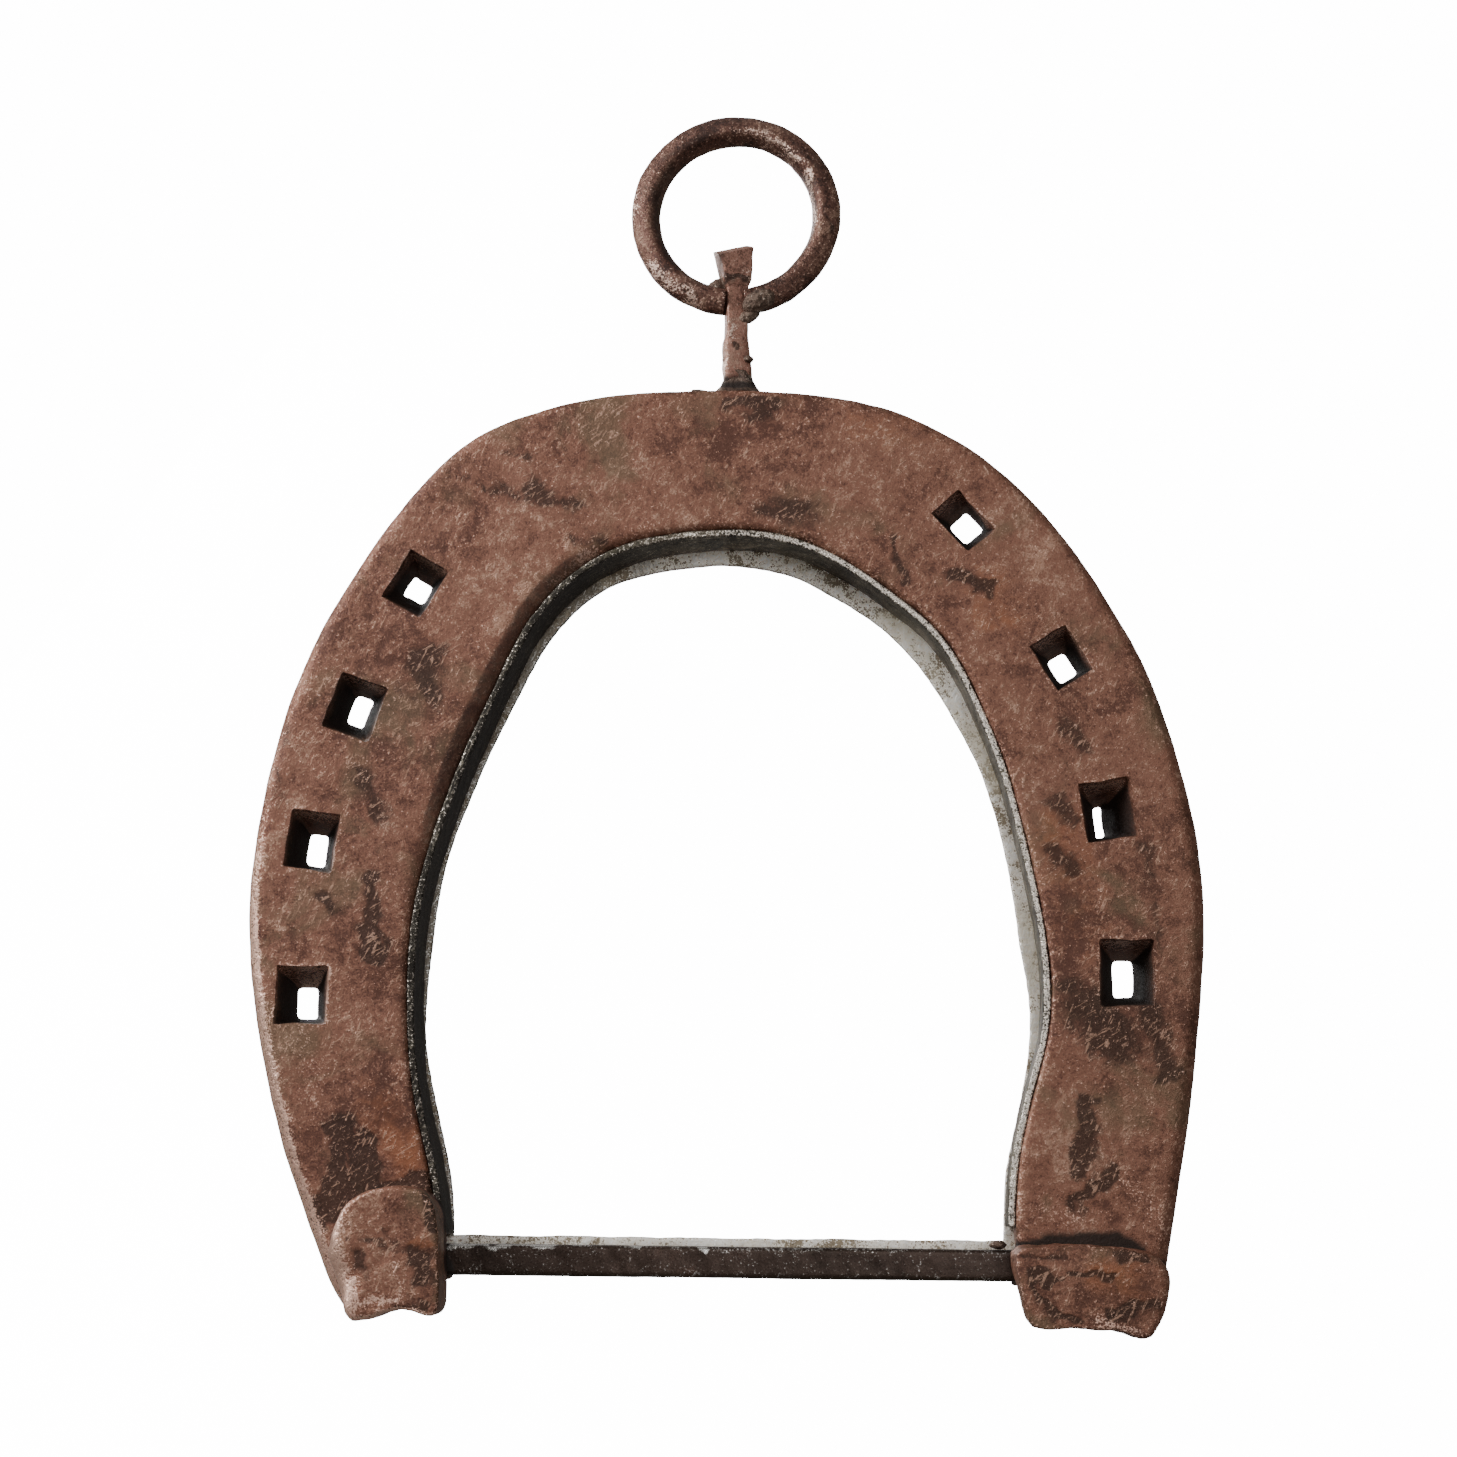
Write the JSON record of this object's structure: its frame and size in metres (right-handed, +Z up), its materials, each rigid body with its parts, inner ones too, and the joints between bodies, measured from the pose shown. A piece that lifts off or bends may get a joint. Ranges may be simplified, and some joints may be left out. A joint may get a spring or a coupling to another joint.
{
  "type": "horseshoe hanging frame",
  "caption": "Forged horseshoe with tapered square nail holes and turned heels, its opening lined by a thin band and closed by a bar, hung from a ring welded to a horse nail on the toe.",
  "frame": {"origin": "inside top of the hanging ring, where a hook or wall nail carries the object", "axes": "+Z up along the hanging object, -Y towards the viewer (the shoe's ground face), +X to the viewer's right"},
  "size_m": [0.1511, 0.0193, 0.2002],
  "materials": {
    "forged_iron": "reddish-brown worn forged iron with dark mottling, pits and lighter rubbed edges",
    "band_steel": "dark mottled olive steel strip with bright front edge",
    "rim_steel": "dull light grey steel strip with fine scratches",
    "bar_steel": "dark brown-black bar with worn bright top edge",
    "ring_iron": "brown patinated rod with worn lighter flats",
    "nail_iron": "brown patinated horse nail, rough from welding heat",
    "weld_metal": "dull grey-brown weld with ripples and pits"
  },
  "bodies": {
    "root": {"horseshoe": "forged_iron", "inner_band": "band_steel", "rear_rim": "rim_steel", "rear_strip": "rim_steel", "cross_bar": "bar_steel", "hanging_ring": "ring_iron", "hanger_nail": "nail_iron", "toe_weld": "weld_metal", "ring_weld_right": "weld_metal", "ring_weld_left": "weld_metal", "bar_weld_left": "weld_metal", "bar_weld_right": "weld_metal", "rim_tack_1": "weld_metal", "rim_tack_2": "weld_metal", "rim_tack_3": "weld_metal", "rim_tack_4": "weld_metal"}
  },
  "joints": []
}
